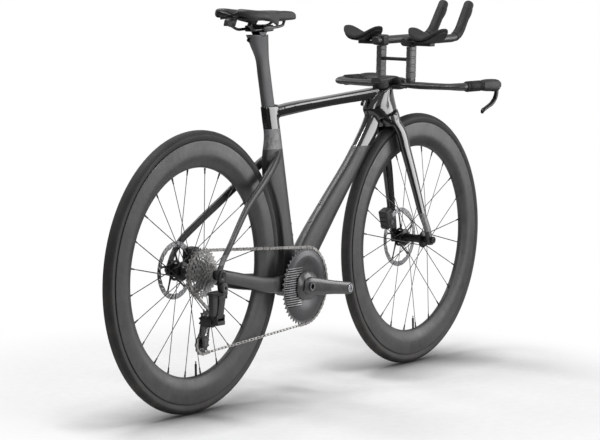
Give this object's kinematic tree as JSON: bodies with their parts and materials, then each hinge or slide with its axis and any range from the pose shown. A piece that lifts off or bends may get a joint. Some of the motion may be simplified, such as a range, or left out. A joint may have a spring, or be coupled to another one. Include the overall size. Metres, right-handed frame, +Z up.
{
  "type": "time trial bicycle",
  "caption": "Time-trial bicycle with wing-section frame, extension bars with arm pads, deep rims, disc brakes and one chainring.",
  "frame": {"origin": "on the floor below the middle of the wheelbase", "axes": "+X forward, +Y to the rider's left, +Z up; the chain side is -Y"},
  "size_m": [1.663, 0.4092, 0.9911],
  "materials": {
    "gloss_carbon": "gloss moulded carbon fibre",
    "satin_carbon": "satin moulded carbon fibre",
    "matt_post": "matt grey-black carbon fibre",
    "matt_black": "matt black moulding",
    "anodised_black": "black anodised",
    "rim_carbon": "satin woven carbon fibre",
    "tyre_rubber": "matt black rubber",
    "grip_rubber": "ribbed matt rubber",
    "pad_foam": "closed-cell foam",
    "saddle_cover": "matt synthetic cover",
    "steel": "satin steel",
    "cog_steel": "plated steel",
    "chain_steel": "plated steel",
    "disc_steel": "ground steel"
  },
  "bodies": {
    "frame": {"frame": "gloss_carbon", "bottom_bracket_cup_left": "anodised_black", "bottom_bracket_cup_right": "anodised_black", "headset_bearing_upper": "steel", "headset_bearing_lower": "steel", "derailleur_hanger": "anodised_black", "rear_axle": "anodised_black", "seat_clamp_wedge": "anodised_black", "rear_brake_caliper": "matt_black", "derailleur_body": "matt_black", "chain": "chain_steel"},
    "fork_and_bars": {"fork": "gloss_carbon", "stem": "satin_carbon", "base_bar": "satin_carbon", "riser_brace": "matt_black", "front_brake_caliper": "matt_black", "front_axle": "anodised_black", "base_grip_left": "grip_rubber", "lever_body_left": "grip_rubber", "riser_left": "satin_carbon", "extension_clamp_left": "matt_black", "arm_rest_left": "matt_black", "arm_pad_left": "pad_foam", "base_grip_right": "grip_rubber", "lever_body_right": "grip_rubber", "riser_right": "satin_carbon", "extension_clamp_right": "matt_black", "arm_rest_right": "matt_black", "arm_pad_right": "pad_foam"},
    "front_wheel": {"front_tyre": "tyre_rubber", "front_rim": "rim_carbon", "front_hub": "anodised_black", "front_rotor": "disc_steel", "front_valve": "anodised_black"},
    "rear_wheel": {"rear_tyre": "tyre_rubber", "rear_rim": "rim_carbon", "rear_hub": "anodised_black", "rear_rotor": "disc_steel", "rear_valve": "anodised_black"},
    "cassette": {"cassette": "cog_steel"},
    "crankset": {"crank_arm_left": "gloss_carbon", "crank_arm_right": "gloss_carbon", "chainring": "anodised_black"},
    "derailleur_outer_link": {"derailleur_outer_link": "matt_black"},
    "derailleur_inner_link": {"derailleur_inner_link": "matt_black"},
    "derailleur_knuckle": {"derailleur_knuckle": "matt_black"},
    "derailleur_cage": {"derailleur_cage": "matt_black"},
    "guide_pulley": {"guide_pulley": "matt_black"},
    "tension_pulley": {"tension_pulley": "matt_black"},
    "brake_lever_left": {"brake_lever_left": "anodised_black"},
    "brake_lever_right": {"brake_lever_right": "anodised_black"},
    "extension_left": {"extension_left": "satin_carbon", "extension_grip_left": "grip_rubber"},
    "extension_right": {"extension_right": "satin_carbon", "extension_grip_right": "grip_rubber"},
    "seatpost": {"seatpost": "matt_post"},
    "saddle_clamp": {"saddle_clamp": "anodised_black"},
    "saddle": {"saddle_rails": "steel", "saddle_shell": "matt_black", "saddle_pad": "saddle_cover"}
  },
  "joints": [
    {"name": "steering", "type": "hinge", "parent": "frame", "child": "fork_and_bars", "pos_m": [0.33589, 0, 0.686], "axis": [-0.3007, 0, 0.9537], "range_deg": [-50, 50]},
    {"name": "front_wheel_spin", "type": "hinge", "parent": "fork_and_bars", "child": "front_wheel", "pos_m": [0.4925, 0, 0.339], "axis": [0, 1, 0], "continuous": true},
    {"name": "rear_wheel_spin", "type": "hinge", "parent": "frame", "child": "rear_wheel", "pos_m": [-0.4925, 0, 0.339], "axis": [0, 1, 0], "continuous": true},
    {"name": "crank_spin", "type": "hinge", "parent": "frame", "child": "crankset", "pos_m": [-0.0887, 0, 0.2716], "axis": [0, 1, 0], "continuous": true, "deforming": ["chain"]},
    {"name": "cassette_spin", "type": "hinge", "parent": "frame", "child": "cassette", "pos_m": [-0.4925, 0, 0.339], "axis": [0, 1, 0], "continuous": true},
    {"name": "derailleur_shift", "type": "hinge", "parent": "frame", "child": "derailleur_outer_link", "pos_m": [-0.487, -0.077, 0.288], "axis": [1, 0, 0], "range_deg": [-43, 4]},
    {"name": "inner_link_pivot", "type": "hinge", "parent": "frame", "child": "derailleur_inner_link", "pos_m": [-0.487, -0.062, 0.288], "axis": [1, 0, 0], "range_deg": [-43, 4]},
    {"name": "knuckle_pivot", "type": "hinge", "parent": "derailleur_outer_link", "child": "derailleur_knuckle", "pos_m": [-0.487, -0.071, 0.238], "axis": [1, 0, 0], "range_deg": [-4, 43]},
    {"name": "cage_swing", "type": "hinge", "parent": "derailleur_knuckle", "child": "derailleur_cage", "pos_m": [-0.4965, -0.024, 0.2255], "axis": [0, 1, 0], "range_deg": [-15, 35], "stiffness_Nm_per_rad": 1},
    {"name": "guide_pulley_spin", "type": "hinge", "parent": "derailleur_cage", "child": "guide_pulley", "pos_m": [-0.47792, -0.024, 0.22731], "axis": [0, 1, 0], "continuous": true},
    {"name": "tension_pulley_spin", "type": "hinge", "parent": "derailleur_cage", "child": "tension_pulley", "pos_m": [-0.48706, -0.024, 0.16961], "axis": [0, 1, 0], "continuous": true},
    {"name": "seatpost_height", "type": "slide", "parent": "frame", "child": "seatpost", "axis": [-0.245, 0, 0.9695], "range_m": [-0.03, 0.03]},
    {"name": "saddle_tilt", "type": "hinge", "parent": "seatpost", "child": "saddle_clamp", "pos_m": [-0.246, 0, 0.9147], "axis": [0, 1, 0], "range_deg": [-8, 8]},
    {"name": "saddle_fore_aft", "type": "slide", "parent": "saddle_clamp", "child": "saddle", "axis": [0.9972, 0, 0.075], "range_m": [-0.025, 0.025]},
    {"name": "brake_lever_left_pull", "type": "hinge", "parent": "fork_and_bars", "child": "brake_lever_left", "pos_m": [0.59, 0.19, 0.7535], "axis": [0, 1, 0], "range_deg": [0, 18], "stiffness_Nm_per_rad": 2, "springref_deg": -2.86},
    {"name": "extension_left_reach", "type": "slide", "parent": "fork_and_bars", "child": "extension_left", "axis": [0.9997, -0.0042, 0.0251], "range_m": [-0.06, 0.012]},
    {"name": "brake_lever_right_pull", "type": "hinge", "parent": "fork_and_bars", "child": "brake_lever_right", "pos_m": [0.59, -0.19, 0.7535], "axis": [0, 1, 0], "range_deg": [0, 18], "stiffness_Nm_per_rad": 2, "springref_deg": -2.86},
    {"name": "extension_right_reach", "type": "slide", "parent": "fork_and_bars", "child": "extension_right", "axis": [0.9997, 0.0042, 0.0251], "range_m": [-0.06, 0.012]}
  ],
  "couplings": [
    {"joint": "cassette_spin", "follows": "crank_spin", "ratio": 1.7778},
    {"joint": "guide_pulley_spin", "follows": "crank_spin", "ratio": -4},
    {"joint": "tension_pulley_spin", "follows": "crank_spin", "ratio": 4},
    {"joint": "inner_link_pivot", "follows": "derailleur_shift", "ratio": 1},
    {"joint": "knuckle_pivot", "follows": "derailleur_shift", "ratio": -1}
  ]
}
